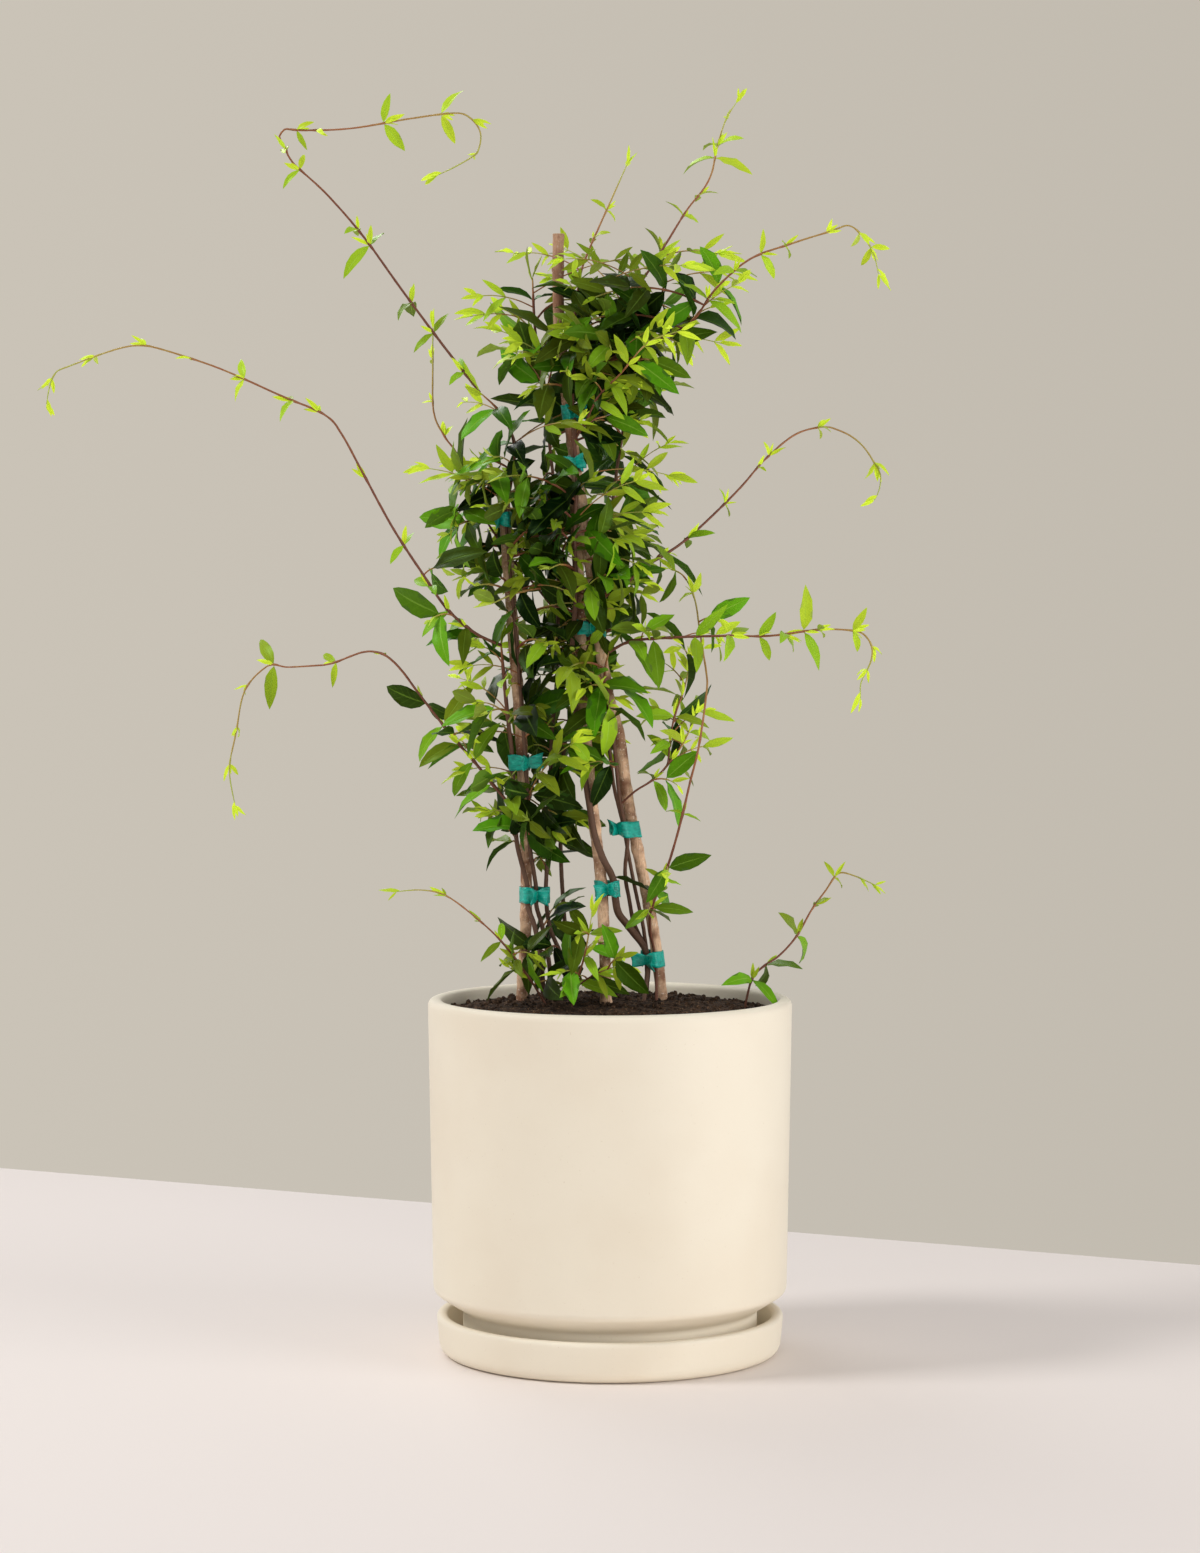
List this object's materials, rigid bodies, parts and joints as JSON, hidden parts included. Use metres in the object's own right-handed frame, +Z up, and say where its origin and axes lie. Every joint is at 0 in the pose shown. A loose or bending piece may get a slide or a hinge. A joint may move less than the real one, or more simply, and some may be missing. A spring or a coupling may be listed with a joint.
{
  "type": "potted carolina jasmine",
  "caption": "Climbing vine with small pointed leaves, tied to wooden stakes, with long free runners, growing in a round clay pot on a saucer.",
  "frame": {"origin": "middle of the saucer's flat underside, on the surface that it stands on", "axes": "+Z up along the pot's axis, -Y towards the viewer of the picture, +X to the right"},
  "size_m": [0.6597, 0.29, 1.0044],
  "materials": {
    "clay": "matt cream glaze",
    "soil": "crumbly dark potting soil",
    "stake": "rough pale bark",
    "tape": "smooth teal nursery tape",
    "vine": "glossy green leaves on brown and green stems"
  },
  "bodies": {
    "root": {"saucer": "clay", "pot": "clay", "soil": "soil", "stake_left": "stake", "stake_middle": "stake", "stake_right": "stake", "tie_right_low": "tape", "tie_right_high": "tape", "tie_middle_low": "tape", "tie_left_low": "tape", "tie_left_mid": "tape", "tie_right_mid": "tape", "tie_left_top": "tape", "tie_right_upper": "tape", "tie_right_top": "tape", "vine_left_outer": "vine", "vine_left_inner": "vine", "vine_left_back": "vine", "vine_middle": "vine", "vine_right_arch": "vine", "vine_right_level": "vine", "vine_loop": "vine", "vine_back": "vine", "shoot_low_left": "vine", "shoot_low_front": "vine", "shoot_rim_right": "vine"}
  },
  "joints": []
}
